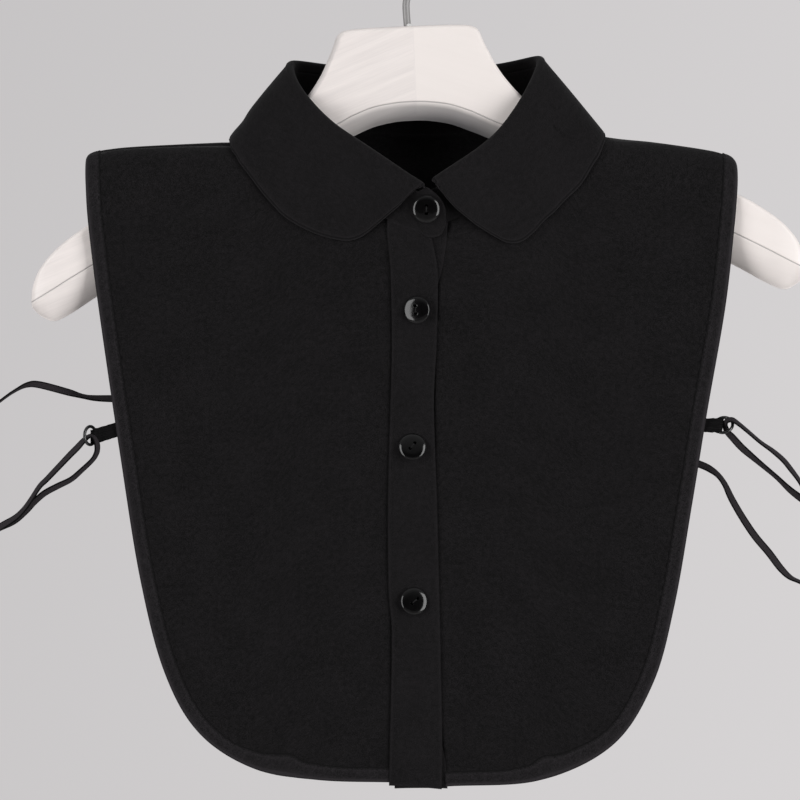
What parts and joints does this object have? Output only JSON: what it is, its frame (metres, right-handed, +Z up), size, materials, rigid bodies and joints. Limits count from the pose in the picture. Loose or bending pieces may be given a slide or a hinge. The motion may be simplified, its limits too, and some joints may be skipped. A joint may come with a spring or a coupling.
{
  "type": "detachable shirt collar on a hanger",
  "caption": "Button-front false shirt collar: front and back panels under a round-point collar, open at the sides with elastic ring-and-strap ties, hung on a white wooden hanger.",
  "frame": {"origin": "the top of the inside of the hanger's hook, where it hangs on a rail", "axes": "+Z up, -Y to the garment's front, +X to the right of someone who looks at the front, which is the wearer's left"},
  "size_m": [0.4623, 0.0658, 0.4572],
  "materials": {
    "cloth": "matt black crepe weave",
    "binding": "matt black bias binding",
    "elastic": "black knitted elastic, slight sheen",
    "button": "polished black",
    "slider": "polished black",
    "ring": "gloss black enamel",
    "hanger_wood": "thin white wash, satin, grain showing",
    "hook_wire": "bright plated wire"
  },
  "bodies": {
    "root": {"front_panel_right": "cloth", "front_panel_left": "cloth", "back_panel": "cloth", "placket_top": "cloth", "placket_under": "cloth", "collar_stand": "cloth", "collar_fall": "cloth", "binding_front_right": "binding", "binding_front_left": "binding", "binding_back": "binding", "button_1": "button", "button_2": "button", "button_3": "button", "button_4": "button", "tab_right": "elastic", "tab_left": "elastic", "ring_right": "ring", "ring_left": "ring", "strap_right": "elastic", "strap_left": "elastic", "slider_right": "slider", "slider_left": "slider", "hanger_board": "hanger_wood", "hanger_hook": "hook_wire"}
  },
  "joints": []
}
